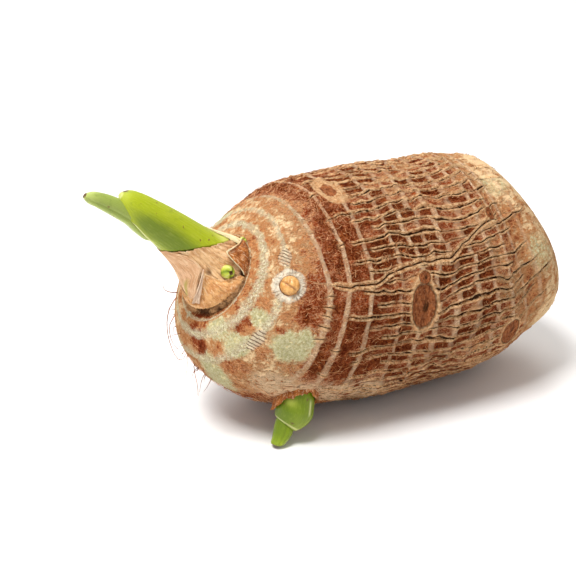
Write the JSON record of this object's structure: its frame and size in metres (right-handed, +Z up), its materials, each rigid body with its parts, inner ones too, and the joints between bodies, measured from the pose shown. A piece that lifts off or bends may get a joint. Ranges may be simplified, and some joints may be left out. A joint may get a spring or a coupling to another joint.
{
  "type": "taro root",
  "caption": "Whole taro corm lying on its side, ringed and furrowed brown bark, with a green crown shoot, a green side shoot and a dormant bud.",
  "frame": {"origin": "on the table, under the middle of the corm's length, inside the flat spot that the corm rests on", "axes": "+X along the corm from the crown end to the tail, +Z up"},
  "size_m": [0.2412, 0.111, 0.1221],
  "materials": {
    "bark": "rough fibrous bark with pale leaf scar rings",
    "dry_husk": "dry papery leaf base",
    "green_sheath": "smooth waxy green leaf",
    "young_leaf": "smooth pale green rolled leaf",
    "dormant_bud": "smooth amber bud scale"
  },
  "bodies": {
    "root": {"corm": "bark", "crown_husk": "dry_husk", "crown_sheath": "green_sheath", "crown_spear": "young_leaf", "crown_bud": "green_sheath", "husk_flap": "dry_husk", "husk_scale": "dry_husk", "side_bud": "dormant_bud", "side_collar": "dry_husk", "side_sheath": "green_sheath", "side_spear": "young_leaf"}
  },
  "joints": []
}
